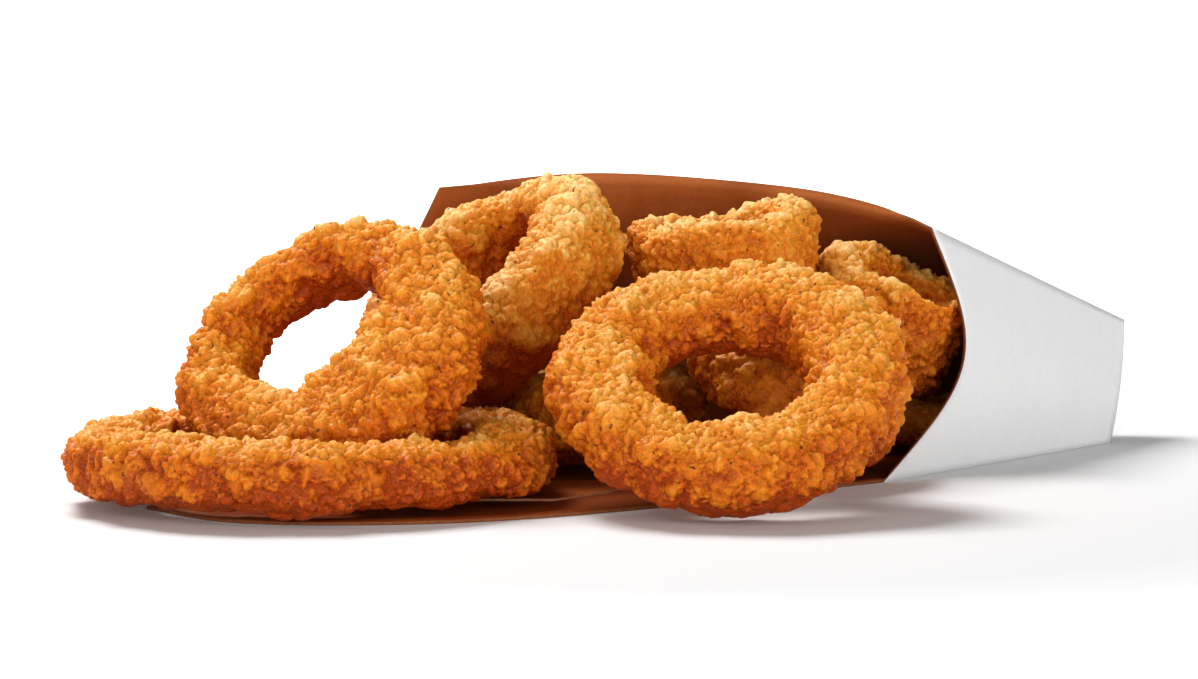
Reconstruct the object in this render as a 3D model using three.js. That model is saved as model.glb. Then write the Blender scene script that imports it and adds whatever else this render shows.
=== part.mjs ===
// Fried onion rings spilling out of a small paper scoop carton that lies on its side.
// Millimetres: +X to the right, +Y to the back, +Z up, on a table at height 0. The carton's long
// back panel lies under the rings and rises behind them. Its short front panel stands at the right,
// and its foot is at the far right. Every ring is one solid band with a lumpy coating, and it lies
// on the board, the table or other rings.
import * as THREE from "three";

// ---- Driving dimensions ----
const BOARD_THICKNESS = 0.6;

// Carton corners before centring: the two side creases run from the foot to the mouth.
const LOW_CREASE = { foot: [109, 59, 0], mouth: [54, -7, 0] };
const HIGH_CREASE = { foot: [115, 77, 25], mouth: [65.4, 16, 47.6] };
const FRONT_FACING = new THREE.Vector3(0.77, -0.64, 0);
const FRONT_BOW = { foot: 0.8, mouth: 3 }; // how far the front panel bows out at its middle
const SCOOP_DEPTH = 0.19; // share of the front panel's length cut away at the middle of its mouth
// The back panel's rails from the mouth to its free end: near edge and top edge.
const NEAR_EDGE = [[54, -7, 0], [8, -44, 0], [-28, -62, 0], [-62, -61, 0], [-80, -44, 0]];
const TOP_EDGE = [[65.4, 16, 47.6], [60.5, 33, 49.8], [42, 47, 54], [0, 57, 57], [-33, 45, 54.7]];
// The two rails its wall bends round, at the carton's foot, its mouth, the middle and the free end.
const WALL_FOOT = [[97, 74, 0], [42, 66, 0], [10, 64, 0], [-60, 38, 0]];
const WALL_BELLY = [[108, 84, 22], [54, 66, 48], [16, 66, 43], [-40, 46, 40]];
const MOUTH_SHARE = 1 / 3; // where the mouth lies along those two rails
const FLAT_SHARE = 0.64; // share of the floor that lies flat before the board starts to curve up

// Carton mesh: rows along the carton, columns across each panel.
const BODY_ROWS = 8;
const TONGUE_ROWS = 14;
const FRONT_COLUMNS = 6;
const FLOOR_COLUMNS = 4;
const WALL_COLUMNS = 10;
const WALL_PASSES = 12; // rounds of evening out the wall's inner points

// Rings: centre, half sizes of the outer oval and of the hole, how far the hole is off the middle,
// height of the band, tilt in degrees from level, the compass direction in which the top face tips
// (0 is +X, 90 is +Y), and turn in degrees about the ring's own axis.
const RINGS = {
  ring_flat: {
    at: [-52.5, -34.7, 8.1], outer: [43.5, 36], hole: [29, 22.5], off: [0, 0.5], height: 12.2,
    tilt: 0, tips: -90, turn: 0, seed: 11,
  },
  ring_leaning: {
    at: [-48, -26.9, 25.8], outer: [29, 29.5], hole: [14.5, 13], off: [-1.5, 7], height: 15,
    tilt: 49, tips: -122, turn: 15, seed: 23,
  },
  ring_tipped: {
    at: [-21.2, 10.3, 34.3], outer: [29, 22.5], hole: [14.5, 9], off: [1, 0.5], height: 20,
    tilt: 41, tips: -136, turn: 38, seed: 37,
  },
  ring_front: {
    at: [22.8, -41.3, 22.3], outer: [31, 32], hole: [14.5, 15.5], off: [-0.5, -1], height: 15,
    tilt: 31.5, tips: -93, turn: 0, seed: 41,
  },
  ring_top: {
    at: [25, 21.3, 43], outer: [19, 17], hole: [8.5, 7], off: [0, 0], height: 14,
    tilt: 9, tips: -150, turn: 0, seed: 53,
  },
  ring_mouth: {
    at: [56.2, 28.6, 28.6], outer: [16.6, 14.6], hole: [7.5, 6.5], off: [4, -2], height: 21.5,
    tilt: 26, tips: -35, turn: 0, seed: 61,
  },
  ring_inner: {
    at: [37.5, -0.3, 17], outer: [20.5, 20], hole: [10, 8.5], off: [0, 0], height: 17.5,
    tilt: 26, tips: -6, turn: 0, seed: 71,
  },
  ring_middle: {
    at: [4.8, 28.8, 27.4], outer: [21, 19], hole: [9, 8], off: [0, 0], height: 12.5,
    tilt: 5, tips: 60, turn: 0, seed: 97,
  },
  ring_deep: {
    at: [72.6, 39.3, 6.6], outer: [17, 14], hole: [7, 5], off: [0, 0], height: 9.6,
    tilt: 0, tips: 0, turn: 40, seed: 101,
  },
  ring_base: {
    at: [-0.6, 12.8, 11.2], outer: [22.5, 21], hole: [10, 8.5], off: [0, 0], height: 17.4,
    tilt: 0, tips: 0, turn: 0, seed: 83,
  },
};
const SECTION_SQUARENESS = 2.7; // exponent of the band's superellipse section
const SECTION_PERIMETER = 1.7; // its perimeter as a share of its width and height added up
const VERTEX_SPACING = 3.5; // about how far apart a ring's vertices lie
// How each ring strays from even ovals: pairs of waves round the ring and their amount.
const REACH_WAVES = [[2, 0.02], [3, 0.02]]; // shares of the outer oval
const BAND_WAVES = [[4, 0.05], [7, 0.04]]; // shares of the band's width
const HEIGHT_WAVES = [[3, 0.05], [5, 0.04]]; // shares of the band's height
const RISE_WAVES = [[2, 0.5]]; // millimetres up and down
const LUMPS = [{ size: 6.5, height: 0.9 }, { size: 3.1, height: 0.8 }]; // the coating's relief

// ---- Shared helpers ----
const FULL_TURN = 2 * Math.PI;
const vector = (point) => new THREE.Vector3(...point);
const mix = (a, b, t) => a.clone().lerp(b, t);
const rail = (points) => new THREE.CatmullRomCurve3(points.map(vector), false, "centripetal");

// A repeatable value from 0 to 1 for each lattice point and seed.
function hash(x, y, z, seed) {
  const s = Math.sin(x * 127.1 + y * 311.7 + z * 74.7 + seed * 19.19) * 43758.5453;
  return s - Math.floor(s);
}

// Smooth value noise from -1 to 1, with lattice cells one unit wide.
function noise(x, y, z, seed) {
  const cell = [Math.floor(x), Math.floor(y), Math.floor(z)];
  const share = [x - cell[0], y - cell[1], z - cell[2]].map((t) => t * t * (3 - 2 * t));
  let sum = 0;
  for (let corner = 0; corner < 8; corner++) {
    const step = [corner & 1, (corner >> 1) & 1, corner >> 2];
    const weight = step.reduce((w, on, axis) => w * (on ? share[axis] : 1 - share[axis]), 1);
    sum += weight * hash(cell[0] + step[0], cell[1] + step[1], cell[2] + step[2], seed);
  }
  return 2 * sum - 1;
}

function geometryOf(points, triangles) {
  const geometry = new THREE.BufferGeometry().setFromPoints(points);
  geometry.setIndex(triangles.flat());
  geometry.computeVertexNormals();
  return geometry;
}

// ---- Onion rings ----
// The sum of a ring's waves at an angle round it.
function wobble(waves, angle, seed) {
  const heights = waves.map(([order, amount]) => {
    return amount * Math.sin(order * angle + FULL_TURN * hash(order, 0, 0, seed));
  });
  return heights.reduce((sum, height) => sum + height, 0);
}

// How far the coating's lumps raise a point of a ring.
function lump(point, seed) {
  const heights = LUMPS.map(({ size, height }, k) => {
    return height * noise(point.x / size, point.y / size, point.z / size, seed + k);
  });
  return heights.reduce((sum, height) => sum + height, 0);
}

const squared = (value) => Math.sign(value) * Math.abs(value) ** (2 / SECTION_SQUARENESS);

// A closed band between an outer oval and an off-centre hole, with a superellipse section.
function ringGeometry({ outer, hole, off, height, seed }) {
  const band = (outer[0] + outer[1] - hole[0] - hole[1]) / 2;
  const around = Math.round((Math.PI * (outer[0] + outer[1])) / VERTEX_SPACING);
  const across = Math.round((SECTION_PERIMETER * (band + height)) / VERTEX_SPACING);
  const points = [];
  for (let i = 0; i < around; i++) {
    const angle = (i / around) * FULL_TURN;
    const [cos, sin] = [Math.cos(angle), Math.sin(angle)];
    const rim = new THREE.Vector3(outer[0] * cos, outer[1] * sin, 0);
    const lip = new THREE.Vector3(hole[0] * cos + off[0], hole[1] * sin + off[1], 0);
    rim.multiplyScalar(1 + wobble(REACH_WAVES, angle, seed));
    const halfBand = (rim.distanceTo(lip) / 2) * (1 + wobble(BAND_WAVES, angle, seed));
    const halfHeight = (height / 2) * (1 + wobble(HEIGHT_WAVES, angle, seed));
    const outward = rim.clone().sub(lip).normalize();
    const spine = mix(rim, lip, 0.5);
    spine.z = wobble(RISE_WAVES, angle, seed);
    for (let j = 0; j < across; j++) {
      const turn = (j / across) * FULL_TURN;
      const point = spine.clone().addScaledVector(outward, halfBand * squared(Math.cos(turn)));
      point.z += halfHeight * squared(Math.sin(turn));
      const facing = outward.clone().multiplyScalar(Math.cos(turn)).setZ(Math.sin(turn));
      points.push(point.addScaledVector(facing, lump(point, seed)));
    }
  }
  const triangles = [];
  for (let i = 0; i < around; i++) {
    for (let j = 0; j < across; j++) {
      const [a, b] = [i * across + j, i * across + ((j + 1) % across)];
      const [c, d] = [a, b].map((k) => (k + across) % (around * across));
      triangles.push([a, c, b], [b, c, d]);
    }
  }
  return geometryOf(points, triangles);
}

function ringMesh(name, ring) {
  const crust = new THREE.MeshStandardMaterial({ color: 0xd98a35, roughness: 0.7, metalness: 0 });
  const mesh = new THREE.Mesh(ringGeometry(ring), crust);
  const compass = THREE.MathUtils.degToRad(ring.tips);
  const hinge = new THREE.Vector3(-Math.sin(compass), Math.cos(compass), 0);
  const axis = new THREE.Vector3(0, 0, 1);
  const turned = new THREE.Quaternion().setFromAxisAngle(axis, THREE.MathUtils.degToRad(ring.turn));
  mesh.name = name;
  mesh.position.set(...ring.at);
  mesh.quaternion.setFromAxisAngle(hinge, THREE.MathUtils.degToRad(ring.tilt)).multiply(turned);
  return mesh;
}

// ---- Carton ----
// One row across the back panel: flat on the table, then a cubic curve up to the top edge.
function backRow(near, foot, belly, top) {
  const bend = mix(near, foot, FLAT_SHARE);
  const curve = new THREE.CubicBezierCurve3(bend, foot, belly, top);
  const floor = Array.from({ length: FLOOR_COLUMNS }, (_, k) => mix(near, bend, k / FLOOR_COLUMNS));
  return [...floor, ...curve.getSpacedPoints(WALL_COLUMNS)];
}

// One row across the front panel between its creases, bowed out by a sine. The middle of each row
// lies nearer the foot than its ends do, which leaves the scoop at the mouth.
function frontRow(low, high, share) {
  const row = [];
  const out = THREE.MathUtils.lerp(FRONT_BOW.foot, FRONT_BOW.mouth, share);
  for (let k = 1; k < FRONT_COLUMNS; k++) {
    const t = k / FRONT_COLUMNS;
    const bow = Math.sin(Math.PI * t);
    const reach = share * (1 - SCOOP_DEPTH * bow);
    row.push(mix(low(reach), high(reach), t).addScaledVector(FRONT_FACING, out * bow));
  }
  return row;
}

// Evens out the wall along the carton: inner points move halfway to the middle of those beside them.
function relaxWall(rows) {
  for (let pass = 0; pass < WALL_PASSES; pass++) {
    for (let i = 1; i + 1 < rows.length; i++) {
      for (let j = FLOOR_COLUMNS + 1; j + 1 < rows[i].length; j++) {
        rows[i][j].lerp(mix(rows[i - 1][j], rows[i + 1][j], 0.5), 0.5);
      }
    }
  }
}

// The back panel's rows, from the foot past the mouth to the free end of the tongue.
function backPanel(low, high) {
  const [footRail, bellyRail, nearRail, topRail] = [WALL_FOOT, WALL_BELLY, NEAR_EDGE, TOP_EDGE].map(rail);
  const rows = [];
  for (let i = 0; i <= BODY_ROWS; i++) {
    const t = i / BODY_ROWS;
    const [foot, belly] = [footRail, bellyRail].map((curve) => curve.getPoint(t * MOUTH_SHARE));
    rows.push(backRow(low(t), foot, belly, high(t)));
  }
  for (let i = 1; i <= TONGUE_ROWS; i++) {
    const t = i / TONGUE_ROWS;
    const along = MOUTH_SHARE + (1 - MOUTH_SHARE) * t;
    const [foot, belly] = [footRail, bellyRail].map((curve) => curve.getPoint(along));
    rows.push(backRow(nearRail.getPointAt(t), foot, belly, topRail.getPointAt(t)));
  }
  relaxWall(rows);
  return rows;
}

// The carton's sheet with no thickness: points and triangles facing out of the carton.
function cartonSheet() {
  const between = (ends) => (t) => mix(vector(ends.foot), vector(ends.mouth), t);
  const [low, high] = [LOW_CREASE, HIGH_CREASE].map(between);
  const points = [];
  const triangles = [];
  const number = (row) => row.map((point) => points.push(point) - 1);
  const weave = (a, b) => {
    for (let k = 0; k + 1 < a.length; k++) {
      triangles.push([a[k], a[k + 1], b[k]], [a[k + 1], b[k + 1], b[k]]);
    }
  };
  const back = backPanel(low, high).map(number);
  const front = Array.from({ length: BODY_ROWS + 1 }, (_, i) => number(frontRow(low, high, i / BODY_ROWS)));
  const creased = front.map((row, i) => [back[i][0], ...row, back[i].at(-1)]);
  for (let i = 0; i + 1 < back.length; i++) weave(back[i + 1], back[i]);
  for (let i = 0; i < BODY_ROWS; i++) weave(creased[i], creased[i + 1]);
  // The foot: a fan from its middle to the two panels' end rows.
  const rim = [...back[0], ...front[0].toReversed()];
  const sum = rim.reduce((total, k) => total.add(points[k]), new THREE.Vector3());
  const middle = points.push(sum.divideScalar(rim.length)) - 1;
  rim.forEach((k, i) => triangles.push([middle, k, rim[(i + 1) % rim.length]]));
  return { points, triangles };
}

// Gives a sheet a thickness: a copy moved inwards along the vertex normals, joined at the free edges.
function thicken({ points, triangles }, thickness) {
  const normals = geometryOf(points, triangles).getAttribute("normal");
  const lining = points.map((point, k) => {
    const normal = new THREE.Vector3().fromBufferAttribute(normals, k);
    return point.clone().addScaledVector(normal, -thickness);
  });
  const count = points.length;
  const edges = new Map();
  for (const triangle of triangles) {
    triangle.forEach((a, k) => {
      const b = triangle[(k + 1) % 3];
      edges.set(`${a},${b}`, [a, b]);
    });
  }
  const free = [...edges.values()].filter(([a, b]) => !edges.has(`${b},${a}`));
  const sides = free.flatMap(([a, b]) => [[b, a, a + count], [b, a + count, b + count]]);
  const inside = triangles.map(([a, b, c]) => [a + count, c + count, b + count]);
  return geometryOf([...points, ...lining], [...triangles, ...inside, ...sides]);
}

function cartonMesh() {
  const board = new THREE.MeshStandardMaterial({ color: 0xeeeeec, roughness: 0.6, metalness: 0 });
  const mesh = new THREE.Mesh(thicken(cartonSheet(), BOARD_THICKNESS), board);
  mesh.name = "carton";
  return mesh;
}

// ---- Assembly: the origin is under the middle of the whole, at table height ----
const side = new THREE.Group();
side.add(cartonMesh());
for (const [name, ring] of Object.entries(RINGS)) side.add(ringMesh(name, ring));
const bounds = new THREE.Box3().setFromObject(side, true);
const centre = bounds.getCenter(new THREE.Vector3());
side.position.set(-centre.x, -centre.y, -bounds.min.z);

export default side;
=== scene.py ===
"""Fried onion rings spilling out of a small paper scoop carton that lies on its side.

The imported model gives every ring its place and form. Each ring is remeshed finely and raised into
crumbs, and the carton is lofted again as a finer sheet of board, white outside and brown inside.
"""

import itertools
import math

import bpy
import numpy as np
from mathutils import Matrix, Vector


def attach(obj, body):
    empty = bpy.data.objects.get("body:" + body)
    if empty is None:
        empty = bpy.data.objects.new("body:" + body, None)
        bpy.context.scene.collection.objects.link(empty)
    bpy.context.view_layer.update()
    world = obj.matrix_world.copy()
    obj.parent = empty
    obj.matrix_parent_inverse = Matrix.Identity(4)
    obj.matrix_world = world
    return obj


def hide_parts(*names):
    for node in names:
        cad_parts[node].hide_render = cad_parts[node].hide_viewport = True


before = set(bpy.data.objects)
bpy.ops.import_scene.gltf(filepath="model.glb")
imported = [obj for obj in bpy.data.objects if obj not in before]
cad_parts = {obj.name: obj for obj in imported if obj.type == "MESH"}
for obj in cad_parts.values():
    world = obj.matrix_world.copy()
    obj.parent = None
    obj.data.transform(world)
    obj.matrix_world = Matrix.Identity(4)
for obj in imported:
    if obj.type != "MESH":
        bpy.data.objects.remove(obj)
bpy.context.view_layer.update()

MM = 0.001
# The model's origin in the frame that the sizes below are written in, in millimetres.
ORIGIN = np.array([9.55, 3.8, 0.0])

# ---- Camera: the photograph's view ----
CAMERA_PLACE = (0.0, -540.0, 69.0)
LENS = 85.0
SENSOR = 36.0
PITCH_DOWN = math.radians(4.48)

# ---- Light and stage, in metres ----
LIGHT_TARGET = (0, 0, 0.02)
LIGHTS = {
    "key": {"place": (-0.32, 0.33, 0.72), "size": 0.35, "power": 6.8},
    "fill": {"place": (-0.45, -0.98, 0.25), "size": 0.9, "power": 5.0},
    "side": {"place": (0.60, -0.88, 0.24), "size": 0.5, "power": 3.6},
}
WORLD_STRENGTH = 0.15
# The floor's rings: radius and height. The last two make a low wall that hides the horizon.
FLOOR_PROFILE = ((0.25, -0.0001), (0.9, -0.0001), (2.6, -0.0001), (2.6, 0.24))
FLOOR_SIDES = 64
FLOOR_COLOUR = (0.80, 0.80, 0.80)
# How far from the food the floor starts to glow and glows in full, and how strongly.
GLOW = {"near": 0.13, "far": 0.45, "near_strength": 0.03, "far_strength": 1.0}

# ---- Rings: how finely each is meshed, in millimetres, and how pale its crust is ----
# Paleness is partly each ring's own frying tone and partly painted light for how brightly the ring is
# lit.
# Crumbs thin out on the undersides, and the crust there is painted darker as shade. A facing is how
# far a surface faces up, from -1 to 1: crumbs are thin and painted dark below the first facing of a
# pair and whole above the second.
BARE_UNDERSIDE = (-0.85, -0.50)
RINGS = {
    "ring_flat": {"voxel": 0.37, "paleness": -0.21},
    "ring_leaning": {"voxel": 0.34, "paleness": -0.09},
    "ring_tipped": {"voxel": 0.345, "paleness": 0.14, "bare": (-0.42, -0.02)},
    "ring_front": {"voxel": 0.35, "paleness": -0.09},
    "ring_top": {"voxel": 0.37, "paleness": 0.05},
    "ring_mouth": {"voxel": 0.37, "paleness": 0.0},
    "ring_inner": {"voxel": 0.6, "paleness": -0.05},
    "ring_middle": {"voxel": 0.7, "paleness": 0.0},
    "ring_deep": {"voxel": 0.7, "paleness": 0.0},
    "ring_base": {"voxel": 0.7, "paleness": 0.0},
}
TABLE_CLEARANCE = 0.1  # no crumb reaches lower than this
WELD_DISTANCE = 0.01
ROUNDING_LEVELS = 2
SMOOTHING_PASSES = 6

# ---- Crumbs: round things packed in a lattice, with the cell that holds one, and their radii ----
LUMPS = {"cell": 4.6, "radius": (1.6, 3.4)}
LARGE_CRUMBS = {"cell": 1.35, "radius": (0.45, 1.15)}
SMALL_CRUMBS = {"cell": 0.90, "radius": (0.30, 0.56)}
GRAINS = {"cell": 2.1, "radius": (0.35, 0.85)}  # single grains that sit on the crumbs
# A ring's layers take seeds that follow one another, so rings are a step apart.
FIRST_SEED = 100
SEED_STEP = 10
# How much of each one's height stands proud.
LUMP_SHARE = 0.34
CRUMB_SHARE = {"whole": 1.05, "bare": 0.20}
GRAIN_SHARE = 0.75
SQUASH = (0.6, 1.4)  # the range of a crumb's proportions along each axis
# The lattice is bent by waves, so that its rows don't show: their reach in cells and their pace.
BEND_REACH = 0.16
BEND_PACE = 3.7
# Shades move a crumb along the crust's colour ramp: how far crumbs vary, and the painted shade on bare
# undersides.
TONE_RANGE = 0.2
UNDERSIDE_PAINTED_SHADE = -0.26
HEIGHT_ENDS = (0.02, 0.98)  # the quantiles of a ring's relief that count as its gaps and its tips
# An integer hash draws each lattice cell's numbers: it adds up the cell's place, the seed and the
# number's column, each times a large number, and then mixes the sum's bits.
CELL_PRIMES = np.array([73856093, 19349663, 83492791])
SEED_PRIME = 7919
COLUMN_STEP = 374761393
MIXING_STEPS = ((15, 2246822519), (13, 3266489917))  # a shift and a factor
LAST_SHIFT = 16
HASH_MASK = 0xFFFFFFFF

# ---- Carton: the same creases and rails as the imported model's ----
LOW_CREASE = {"foot": (109, 59, 0), "mouth": (54, -7, 0)}
HIGH_CREASE = {"foot": (115, 77, 25), "mouth": (65.4, 16, 47.6)}
FRONT_FACING = (0.77, -0.64, 0)
FRONT_BOW = {"foot": 0.8, "mouth": 3.0}  # how far the front panel bows out at its middle
SCOOP_DEPTH = 0.19  # share of the front panel's length cut away at the middle of its mouth
# The back panel's rails from the mouth to its free end: near edge and top edge.
NEAR_EDGE = ((54, -7, 0), (8, -44, 0), (-28, -62, 0), (-62, -61, 0), (-80, -44, 0))
TOP_EDGE = ((65.4, 16, 47.6), (60.5, 33, 49.8), (42, 47, 54), (0, 57, 57), (-33, 45, 54.7))
# The two rails its wall bends round, at the carton's foot, its mouth, the middle and the free end.
WALL_FOOT = ((97, 74, 0), (42, 66, 0), (10, 64, 0), (-60, 38, 0))
WALL_BELLY = ((108, 84, 22), (54, 66, 48), (16, 66, 43), (-40, 46, 40))
MOUTH_SHARE = 1 / 3  # where the mouth lies along those two rails
FLAT_SHARE = 0.64  # share of the floor that lies flat before the board starts to curve up
BOARD_THICKNESS = 0.6
# A tab of board that lies on the floor panel, between the flat ring and the front ring.
TAB_OUTLINE = ((-62, -37), (-8, -37.5), (2, -27), (8, -12), (-62, -12))
TAB_THICKNESS = 0.45
# Mesh: rows along the carton, columns across each panel.
BODY_ROWS = 32
TONGUE_ROWS = 56
FRONT_COLUMNS = 24
FLOOR_COLUMNS = 16
WALL_COLUMNS = 40
WALL_PASSES = 192  # rounds of evening out the wall's inner points
RAIL_STEPS = 800  # steps in which a rail is measured along its length
BEZIER_STEPS = 200


# ---- Mesh helpers ----
def add_mesh(name, vertices, faces, materials, slots=None, smooth=True):
    """A new object from vertices in millimetres, faces, and each face's material slot."""
    mesh = bpy.data.meshes.new(name)
    mesh.from_pydata([tuple(v * MM for v in place) for place in vertices], [], faces)
    for material in materials:
        mesh.materials.append(material)
    if slots is not None:
        mesh.polygons.foreach_set("material_index", slots)
    mesh.polygons.foreach_set("use_smooth", [smooth] * len(mesh.polygons))
    mesh.update()
    return add_object(name, mesh)


def add_object(name, data):
    thing = bpy.data.objects.new(name, data)
    bpy.context.scene.collection.objects.link(thing)
    return thing


# ---- Material helpers ----
class Material:
    """A node material built step by step; all methods but feed and set return an output socket."""

    def __init__(self, name):
        self.data = bpy.data.materials.new(name)
        self.data.use_nodes = True
        self.nodes = self.data.node_tree.nodes
        self.links = self.data.node_tree.links
        self.shader = self.nodes["Principled BSDF"]
        self.place = self.nodes.new("ShaderNodeTexCoord").outputs["Object"]

    def feed(self, socket, value):
        """Links a socket, or sets a number or colour."""
        if isinstance(value, bpy.types.NodeSocket):
            self.links.new(value, socket)
        elif isinstance(value, tuple) and len(socket.default_value) == 4:
            socket.default_value = (*value, 1.0)
        else:
            socket.default_value = value

    def set(self, **values):
        for key, value in values.items():
            self.feed(self.shader.inputs[key.replace("_", " ")], value)

    def attribute(self, name):
        node = self.nodes.new("ShaderNodeAttribute")
        node.attribute_name = name
        return node.outputs["Fac"]

    def height(self):
        """The height above the table, in metres."""
        node = self.nodes.new("ShaderNodeSeparateXYZ")
        self.links.new(self.place, node.inputs[0])
        return node.outputs["Z"]

    def distance(self):
        """The distance from the middle of the table under the part, in metres."""
        node = self.nodes.new("ShaderNodeVectorMath")
        node.operation = "LENGTH"
        self.links.new(self.place, node.inputs[0])
        return node.outputs["Value"]

    def noise(self, size, detail=2.0, roughness=0.5):
        """Smooth noise with features about size millimetres wide."""
        node = self.nodes.new("ShaderNodeTexNoise")
        self.links.new(self.place, node.inputs["Vector"])
        node.inputs["Scale"].default_value = 1 / (size * MM)
        node.inputs["Detail"].default_value = detail
        node.inputs["Roughness"].default_value = roughness
        return node.outputs["Fac"]

    def cells(self, size):
        """The distance, in cells, to the middle of the nearest of many cells size millimetres wide."""
        node = self.nodes.new("ShaderNodeTexVoronoi")
        self.links.new(self.place, node.inputs["Vector"])
        node.inputs["Scale"].default_value = 1 / (size * MM)
        return node.outputs["Distance"]

    def ramp(self, value, *stops):
        """A colour ramp from (position, colour) pairs."""
        node = self.nodes.new("ShaderNodeValToRGB")
        self.links.new(value, node.inputs["Fac"])
        elements = node.color_ramp.elements
        while len(elements) < len(stops):
            elements.new(0.5)
        for element, (position, colour) in zip(elements, stops):
            element.position = position
            element.color = (*colour, 1.0)
        return node.outputs["Color"]

    def spread(self, value, low, high, to_low, to_high):
        """Maps low..high to to_low..to_high, held at the ends."""
        node = self.nodes.new("ShaderNodeMapRange")
        self.links.new(value, node.inputs["Value"])
        node.inputs["From Min"].default_value = low
        node.inputs["From Max"].default_value = high
        node.inputs["To Min"].default_value = to_low
        node.inputs["To Max"].default_value = to_high
        return node.outputs["Result"]

    def add(self, *values):
        """The sum of two or more values."""
        total = values[0]
        for value in values[1:]:
            node = self.nodes.new("ShaderNodeMath")
            self.feed(node.inputs[0], total)
            self.feed(node.inputs[1], value)
            total = node.outputs["Value"]
        return total

    def mix(self, share, a, b):
        """Mixes two colours; each may be a socket or a colour."""
        node = self.nodes.new("ShaderNodeMix")
        node.data_type = "RGBA"
        self.feed(node.inputs["Factor"], share)
        self.feed(node.inputs[6], a)
        self.feed(node.inputs[7], b)
        return node.outputs[2]

    def bump(self, height, distance, strength=1.0):
        """Bumps of height times distance millimetres."""
        node = self.nodes.new("ShaderNodeBump")
        self.links.new(height, node.inputs["Height"])
        node.inputs["Distance"].default_value = distance * MM
        node.inputs["Strength"].default_value = strength
        return node.outputs["Normal"]


# ---- Materials ----
def crust_material():
    """Fried crumb: deep orange, painted darker as shade in the gaps and where it faces down, and
    painted paler as light on the tips and where it faces up.
    """
    crust = Material("crust")
    grain = crust.noise(0.5, detail=3.0, roughness=0.65)
    granules = crust.cells(0.6)
    level = crust.add(
        # Painted shade and light: the crust is darker in the relief's gaps and paler on its tips.
        crust.spread(crust.attribute("crumb_height"), 0.0, 1.0, 0.24, 0.58),
        # Each crumb's random tone, the ring's paleness, which is partly painted light, and painted
        # shade on bare undersides.
        crust.attribute("crumb_tone_and_painted_shade"),
        # Painted light and shade: the crust is paler where it faces up and darker where it faces down.
        crust.spread(crust.attribute("facing_up"), -0.7, 0.7, -0.21, 0.13),
        crust.spread(crust.attribute("facing_up"), 0.45, 1.0, 0.0, 0.28),
        # Painted shade and light: each granule is paler in its middle and darker at its rim.
        crust.spread(granules, 0.15, 0.65, 0.06, -0.08),
        crust.spread(grain, 0.3, 0.7, -0.05, 0.05),
        crust.spread(crust.noise(8.0, detail=1.0), 0.35, 0.65, -0.05, 0.05),
    )
    colour = crust.ramp(
        level,
        (0.00, (0.38, 0.065, 0.003)),
        (0.20, (0.56, 0.150, 0.006)),
        (0.40, (0.66, 0.230, 0.012)),
        (0.65, (0.74, 0.335, 0.045)),
        (1.00, (0.90, 0.605, 0.260)),
    )
    specks = crust.spread(crust.noise(1.0, detail=0.0), 0.79, 0.82, 0.0, 0.8)
    crust.set(
        Base_Color=crust.mix(specks, colour, (0.10, 0.03, 0.01)),
        Roughness=crust.spread(crust.noise(2.4), 0.3, 0.7, 0.36, 0.58),
        Specular_IOR_Level=0.22,
        Subsurface_Weight=0.8,
        Subsurface_Radius=(1.0, 0.36, 0.12),
        Subsurface_Scale=1.7 * MM,
        Normal=crust.bump(granules, -0.24, 0.8),
    )
    return crust.data


def white_board():
    """The smooth coated outside of the board."""
    white = Material("board_white")
    fibre = white.noise(1.6, detail=4.0, roughness=0.6)
    white.set(
        Base_Color=white.ramp(fibre, (0.3, (0.75, 0.75, 0.75)), (0.7, (0.78, 0.78, 0.775))),
        Roughness=white.spread(white.noise(14.0), 0.3, 0.7, 0.42, 0.55),
        Normal=white.bump(fibre, 0.03, 0.4),
    )
    return white.data


def kraft_board(oily_and_shaded):
    """The brown inside of the board with oil stains; under the food it is also darker and glossier
    near the table, partly from oil and partly painted shade.
    """
    kraft = Material("board_kraft_oily_and_shaded" if oily_and_shaded else "board_kraft")
    fibre = kraft.noise(0.8, detail=5.0, roughness=0.7)
    stain = kraft.noise(22.0)
    darkening = kraft.spread(stain, 0.52, 0.66, 0.0, 0.5)
    if oily_and_shaded:
        # Painted shade and oil: darker and glossier within a few millimetres of the table.
        low = kraft.spread(kraft.height(), 1.0 * MM, 9.0 * MM, 0.75, 0.0)
        darkening = kraft.add(darkening, low)
    brown = kraft.ramp(fibre, (0.3, (0.33, 0.100, 0.029)), (0.7, (0.40, 0.128, 0.037)))
    kraft.set(
        Base_Color=kraft.mix(darkening, brown, (0.20, 0.044, 0.010)),
        Roughness=kraft.spread(darkening, 0.0, 1.0, 0.80, 0.50),
        Specular_IOR_Level=0.06,
        Normal=kraft.bump(fibre, 0.05, 0.5),
    )
    return kraft.data


def cut_edge(name, dark, light):
    """The bare cut edge of the board, with its fibres from a dark to a light brown."""
    edge = Material(name)
    edge.set(
        Base_Color=edge.ramp(edge.noise(0.4, detail=3.0), (0.3, dark), (0.7, light)),
        Roughness=0.85,
        Specular_IOR_Level=0.1,
    )
    return edge.data


# ---- Crumbs ----
def cell_numbers(cells, seed, count):
    """Repeatable numbers from 0 to 1 for each lattice cell, as an array of (cells, count)."""
    base = ((cells * CELL_PRIMES).sum(axis=1) + seed * SEED_PRIME) & HASH_MASK
    columns = []
    for k in range(count):
        mixed = (base.astype(np.uint64) + np.uint64(k * COLUMN_STEP)) & np.uint64(HASH_MASK)
        for shift, factor in MIXING_STEPS:
            mixed = (mixed ^ (mixed >> np.uint64(shift))) * np.uint64(factor) & np.uint64(HASH_MASK)
        columns.append((mixed ^ (mixed >> np.uint64(LAST_SHIFT))) / HASH_MASK)
    return np.stack(columns, axis=1)


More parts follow.
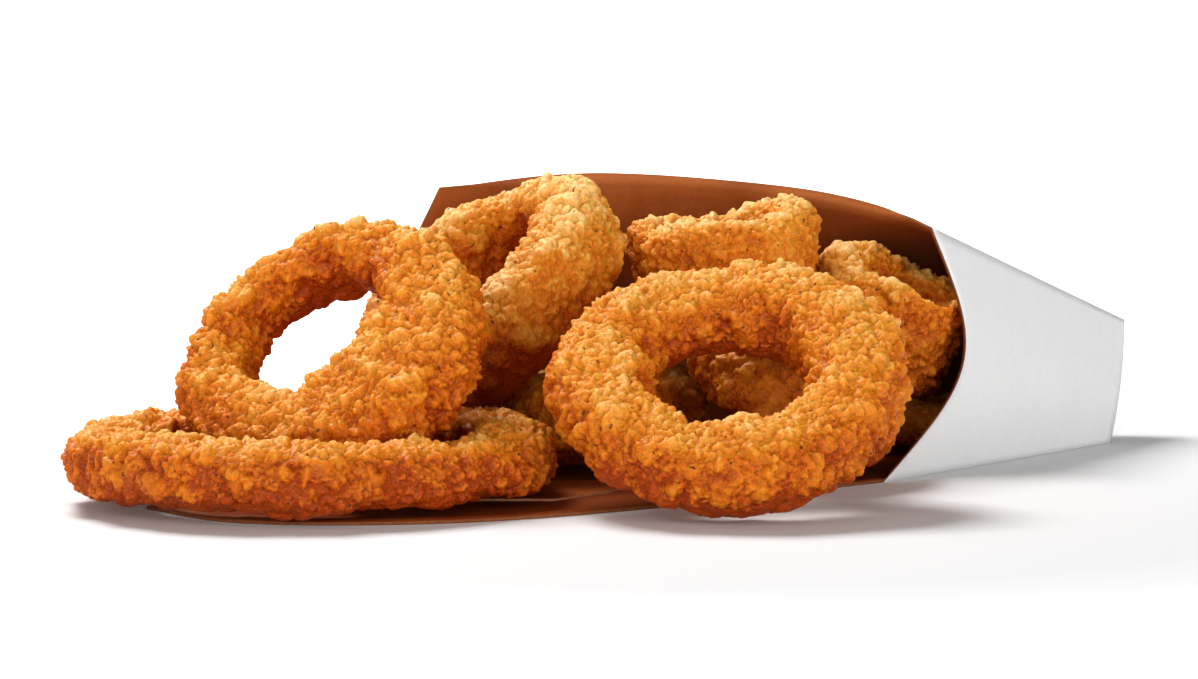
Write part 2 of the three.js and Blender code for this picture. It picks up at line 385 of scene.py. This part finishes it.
def crumb_layer(points, cell, radius, seed):
    """The height of round crumbs packed in a lattice, and each crumb's own tone, at every point."""
    bent = points + BEND_REACH * cell * np.sin(points[:, [1, 2, 0]] * BEND_PACE / cell)
    scaled = bent / cell
    home = np.floor(scaled).astype(np.int64)
    height = np.zeros(len(points))
    tone = np.full(len(points), 0.5)
    for step in itertools.product((-1, 0, 1), repeat=3):
        cells = home + step
        numbers = cell_numbers(cells, seed, 8)
        middle = numbers[:, :3]
        size_draw = numbers[:, 3]
        tone_draw = numbers[:, 4]
        squash = SQUASH[0] + (SQUASH[1] - SQUASH[0]) * numbers[:, 5:]
        away = (cells + middle - scaled) * cell
        size = radius[0] + (radius[1] - radius[0]) * size_draw**2  # few are large
        rise = np.sqrt(np.maximum(size**2 - ((away * squash) ** 2).sum(axis=1), 0))
        higher = rise > height
        height[higher] = rise[higher]
        tone[higher] = tone_draw[higher]
    return height, tone


def fine_copy(node, voxel):
    """A CAD ring's surface, rounded and remeshed with even quads about a voxel wide."""
    copy = add_object(node + "_copy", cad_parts[node].data.copy())
    copy.modifiers.new("weld", "WELD").merge_threshold = WELD_DISTANCE * MM
    copy.modifiers.new("round", "SUBSURF").levels = ROUNDING_LEVELS
    remesh = copy.modifiers.new("even", "REMESH")
    remesh.mode = "VOXEL"
    remesh.voxel_size = voxel * MM
    copy.modifiers.new("smooth", "SMOOTH").iterations = SMOOTHING_PASSES
    depsgraph = bpy.context.evaluated_depsgraph_get()
    mesh = bpy.data.meshes.new_from_object(copy.evaluated_get(depsgraph))
    bpy.data.objects.remove(copy)
    return mesh


def vertex_array(collection, key):
    """A vector of each item of a mesh collection, as an array."""
    values = np.empty(len(collection) * 3)
    collection.foreach_get(key, values)
    return values.reshape(-1, 3)


def add_values(mesh, name, values):
    mesh.attributes.new(name, "FLOAT", "POINT").data.foreach_set("value", values)


def crumbed_ring(node, voxel, paleness, material, seed, bare=BARE_UNDERSIDE):
    """One fried ring: the CAD band with lumps, crumbs and grains raised along its normals."""
    mesh = fine_copy(node, voxel)
    points = vertex_array(mesh.vertices, "co") / MM
    normals = vertex_array(mesh.vertex_normals, "vector")
    lumps, _ = crumb_layer(points, **LUMPS, seed=seed)
    large, large_tone = crumb_layer(points, **LARGE_CRUMBS, seed=seed + 1)
    small, small_tone = crumb_layer(points, **SMALL_CRUMBS, seed=seed + 2)
    grains, _ = crumb_layer(points, **GRAINS, seed=seed + 3)
    crumbs = np.maximum(large, small)
    tone = np.where(small > large, small_tone, large_tone)
    whole = np.interp(normals[:, 2], bare, (0, 1))
    cover = CRUMB_SHARE["bare"] + (CRUMB_SHARE["whole"] - CRUMB_SHARE["bare"]) * whole
    rise = LUMP_SHARE * lumps + cover * (crumbs + GRAIN_SHARE * grains)
    gap, tip = np.quantile(rise, HEIGHT_ENDS)
    moved = points + normals * (rise - rise.mean())[:, None]
    moved[:, 2] = np.maximum(moved[:, 2], TABLE_CLEARANCE)
    mesh.vertices.foreach_set("co", (moved * MM).ravel())
    add_values(mesh, "crumb_height", np.clip((rise - gap) / (tip - gap), 0, 1))
    # The colour shift: random crumb tone, ring paleness that is partly painted light, and painted
    # shade on bare undersides.
    add_values(mesh, "crumb_tone_and_painted_shade", TONE_RANGE * (tone - 0.5) + paleness + UNDERSIDE_PAINTED_SHADE * (1 - whole))
    # How far each point faces up, which the crust material uses to paint light on tops and shade on
    # undersides.
    add_values(mesh, "facing_up", normals[:, 2])
    mesh.polygons.foreach_set("use_smooth", [True] * len(mesh.polygons))
    mesh.materials.clear()
    mesh.materials.append(material)
    mesh.update()
    ring = add_object(node + "_fried", mesh)
    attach(ring, "root")
    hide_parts(node)


# ---- Carton ----
def mix(a, b, t):
    """The place a share t of the way from a to b; t may be an array."""
    a, b, t = (np.asarray(value, float) for value in (a, b, t))
    return a + (b - a) * t[..., None]


def rail(knots, shares):
    """Places on the centripetal Catmull-Rom curve through the knots, from its start at 0 to 1."""
    knots = np.array(knots, float)
    padded = np.vstack([2 * knots[0] - knots[1], knots, 2 * knots[-1] - knots[-2]])
    gaps = np.sqrt(np.linalg.norm(np.diff(padded, axis=0), axis=1))
    along = np.asarray(shares, float) * (len(knots) - 1)
    k = np.minimum(along.astype(int), len(knots) - 2)
    t = (along - k)[:, None]
    p0, p1, p2, p3 = (padded[k + n] for n in range(4))
    d0, d1, d2 = (gaps[k + n][:, None] for n in range(3))
    leave = d1 * ((p1 - p0) / d0 - (p2 - p0) / (d0 + d1) + (p2 - p1) / d1)
    arrive = d1 * ((p2 - p1) / d1 - (p3 - p1) / (d1 + d2) + (p3 - p2) / d2)
    cubic = 2 * (p1 - p2) + leave + arrive
    square = 3 * (p2 - p1) - 2 * leave - arrive
    return p1 + t * (leave + t * (square + t * cubic))


def evenly(places, count):
    """A number of places spread evenly by length along a polyline."""
    lengths = np.linalg.norm(np.diff(places, axis=0), axis=1)
    along = np.concatenate([[0.0], np.cumsum(lengths)])
    wanted = np.linspace(0, along[-1], count)
    return np.stack([np.interp(wanted, along, axis) for axis in places.T], axis=1)


def bezier(a, b, c, d, count):
    """A number of places spread evenly by length along a cubic Bezier curve."""
    t = np.linspace(0, 1, BEZIER_STEPS)[:, None]
    curve = a * (1 - t) ** 3 + 3 * b * t * (1 - t) ** 2 + 3 * c * t**2 * (1 - t) + d * t**3
    return evenly(curve, count)


def back_row(near, foot, belly, top):
    """One row across the back panel: flat on the table, then a curve up to the top edge."""
    bend = mix(near, foot, FLAT_SHARE)
    floor = mix(near, bend, np.arange(FLOOR_COLUMNS) / FLOOR_COLUMNS)
    return np.vstack([floor, bezier(bend, foot, belly, top, WALL_COLUMNS + 1)])


def back_panel():
    """The back panel's rows, from the foot past the mouth to the free end of the tongue."""
    body = np.linspace(0, 1, BODY_ROWS + 1)
    tongue = np.linspace(0, 1, TONGUE_ROWS + 1)
    fine = np.linspace(0, 1, RAIL_STEPS)
    low = mix(LOW_CREASE["foot"], LOW_CREASE["mouth"], body)
    high = mix(HIGH_CREASE["foot"], HIGH_CREASE["mouth"], body)
    near = np.vstack([low[:-1], evenly(rail(NEAR_EDGE, fine), TONGUE_ROWS + 1)])
    top = np.vstack([high[:-1], evenly(rail(TOP_EDGE, fine), TONGUE_ROWS + 1)])
    shares = np.concatenate([body[:-1] * MOUTH_SHARE, MOUTH_SHARE + (1 - MOUTH_SHARE) * tongue])
    foot = rail(WALL_FOOT, shares)
    belly = rail(WALL_BELLY, shares)
    rows = np.array([back_row(*places) for places in zip(near, foot, belly, top)])
    wall = rows[:, FLOOR_COLUMNS + 1 : -1]
    for _ in range(WALL_PASSES):
        wall[1:-1] = (wall[1:-1] + (wall[:-2] + wall[2:]) / 2) / 2
    return rows


def front_panel():
    """The front panel's rows between its creases, bowed out, with the scoop at the mouth."""
    t = np.arange(1, FRONT_COLUMNS) / FRONT_COLUMNS
    bow = np.sin(np.pi * t)
    rows = []
    for share in np.linspace(0, 1, BODY_ROWS + 1):
        reach = share * (1 - SCOOP_DEPTH * bow)
        low = mix(LOW_CREASE["foot"], LOW_CREASE["mouth"], reach)
        high = mix(HIGH_CREASE["foot"], HIGH_CREASE["mouth"], reach)
        out = mix(FRONT_BOW["foot"], FRONT_BOW["mouth"], share) * bow[:, None]
        rows.append(mix(low, high, t) + out * np.array(FRONT_FACING))
    return np.array(rows)


def weave(rows):
    """Quads between the neighbouring rows of an array of vertex numbers."""
    return [
        (rows[i, k], rows[i, k + 1], rows[i + 1, k + 1], rows[i + 1, k])
        for i in range(rows.shape[0] - 1)
        for k in range(rows.shape[1] - 1)
    ]


def carton_sheet():
    """The carton's sheet with no thickness: places, and faces that face out of the carton."""
    back = back_panel()
    front = front_panel()
    back_numbers = np.arange(back[..., 0].size).reshape(back.shape[:2])
    front_numbers = back_numbers.size + np.arange(front[..., 0].size).reshape(front.shape[:2])
    places = np.vstack([back.reshape(-1, 3), front.reshape(-1, 3)])
    body = back_numbers[: BODY_ROWS + 1]
    creased = np.hstack([body[:, :1], front_numbers, body[:, -1:]])
    rim = [*back_numbers[0], *front_numbers[0][::-1]]
    middle = len(places)
    places = np.vstack([places, places[rim].mean(axis=0)])
    foot = [(middle, k, rim[(i + 1) % len(rim)]) for i, k in enumerate(rim)]
    faces = weave(back_numbers[::-1]) + weave(creased) + foot
    return places, [tuple(int(k) for k in face) for face in faces]


def sheet_normals(places, faces):
    mesh = bpy.data.meshes.new("sheet")
    mesh.from_pydata([tuple(place) for place in places], [], faces)
    normals = vertex_array(mesh.vertex_normals, "vector")
    bpy.data.meshes.remove(mesh)
    return normals


def thicken(places, faces, thickness):
    """Adds the sheet's inner side and its cut edges; the slots are 0 out, 1 in and 2 cut."""
    inner = places - sheet_normals(places, faces) * thickness
    count = len(places)
    edges = {edge for face in faces for edge in zip(face, face[1:] + face[:1])}
    free = sorted((a, b) for a, b in edges if (b, a) not in edges)
    inside = [tuple(k + count for k in reversed(face)) for face in faces]
    cut = [(b, a, a + count, b + count) for a, b in free]
    slots = [0] * len(faces) + [1] * len(inside) + [2] * len(cut)
    return np.vstack([places, inner]), faces + inside + cut, slots


def add_carton(materials):
    """The fine board sheet of the carton."""
    places, faces = carton_sheet()
    places, faces, slots = thicken(places, faces, BOARD_THICKNESS)
    carton = add_mesh("carton_board", places - ORIGIN, faces, materials, slots)
    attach(carton, "root")
    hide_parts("carton")


def add_tab(materials):
    """The small tab of board on the floor panel."""
    count = len(TAB_OUTLINE)
    low = [(x, y, BOARD_THICKNESS) for x, y in TAB_OUTLINE]
    high = [(x, y, BOARD_THICKNESS + TAB_THICKNESS) for x, y in TAB_OUTLINE]
    sides = [(k, (k + 1) % count, count + (k + 1) % count, count + k) for k in range(count)]
    faces = [tuple(range(count))[::-1], tuple(range(count, 2 * count)), *sides]
    slots = [0, 1] + [2] * count
    tab = add_mesh("carton_tab", np.array(low + high) - ORIGIN, faces, materials, slots, smooth=False)
    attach(tab, "root")


# ---- Camera, stage and light ----
def add_camera():
    """The camera at the photograph's viewing angle."""
    data = bpy.data.cameras.new("camera")
    data.lens = LENS
    data.sensor_width = SENSOR
    camera = add_object("camera", data)
    camera.location = (np.array(CAMERA_PLACE) - ORIGIN) * MM
    camera.rotation_euler = (math.pi / 2 - PITCH_DOWN, 0, 0)
    bpy.context.scene.camera = camera


def add_area_light(name, place, size, power):
    """A square soft light that faces the middle of the food."""
    data = bpy.data.lights.new(name, "AREA")
    data.size = size
    data.energy = power
    light = add_object(name, data)
    light.location = place
    aim = Vector(LIGHT_TARGET) - light.location
    light.rotation_euler = aim.to_track_quat("-Z", "Y").to_euler()


def floor_material():
    """A matte white that glows further out, so that the floor runs out into white."""
    floor = Material("floor")
    floor.set(
        Base_Color=FLOOR_COLOUR,
        Roughness=0.9,
        Emission_Color=(1.0, 1.0, 1.0),
        Emission_Strength=floor.spread(
            floor.distance(), GLOW["near"], GLOW["far"], GLOW["near_strength"], GLOW["far_strength"]
        ),
    )
    return floor.data


def add_floor():
    """A round floor with a low wall far out."""
    turns = [2 * math.pi * k / FLOOR_SIDES for k in range(FLOOR_SIDES)]
    places = [
        (radius / MM * math.cos(turn), radius / MM * math.sin(turn), height / MM)
        for radius, height in FLOOR_PROFILE
        for turn in turns
    ]
    faces = [tuple(range(FLOOR_SIDES))]
    for start in range(0, len(places) - FLOOR_SIDES, FLOOR_SIDES):
        for k in range(FLOOR_SIDES):
            a = start + k
            b = start + (k + 1) % FLOOR_SIDES
            faces.append((a, a + FLOOR_SIDES, b + FLOOR_SIDES, b))
    floor = add_mesh("floor", places, faces, [floor_material()], smooth=False)


def set_world():
    """An even white surrounding light, and the view's contrast."""
    world = bpy.data.worlds.new("world")
    world.use_nodes = True
    background = world.node_tree.nodes["Background"]
    background.inputs["Color"].default_value = (1, 1, 1, 1)
    background.inputs["Strength"].default_value = WORLD_STRENGTH
    bpy.context.scene.world = world
    bpy.context.scene.view_settings.view_transform = "Standard"
    bpy.context.scene.view_settings.look = "Medium High Contrast"


def main():
    add_camera()
    add_floor()
    set_world()
    for name, light in LIGHTS.items():
        add_area_light(name, **light)
    crust = crust_material()
    for k, (node, ring) in enumerate(RINGS.items()):
        crumbed_ring(node, **ring, material=crust, seed=FIRST_SEED + SEED_STEP * k)
    white = white_board()
    # The carton's cut edge is dark brown, partly from oil and partly painted shade.
    oiled_and_shaded_edge = cut_edge("board_edge_oiled_and_shaded", (0.20, 0.070, 0.028), (0.30, 0.120, 0.055))
    dry_edge = cut_edge("board_edge_dry", (0.45, 0.200, 0.100), (0.60, 0.300, 0.170))
    add_carton([white, kraft_board(oily_and_shaded=True), oiled_and_shaded_edge])
    add_tab([white, kraft_board(oily_and_shaded=False), dry_edge])


main()
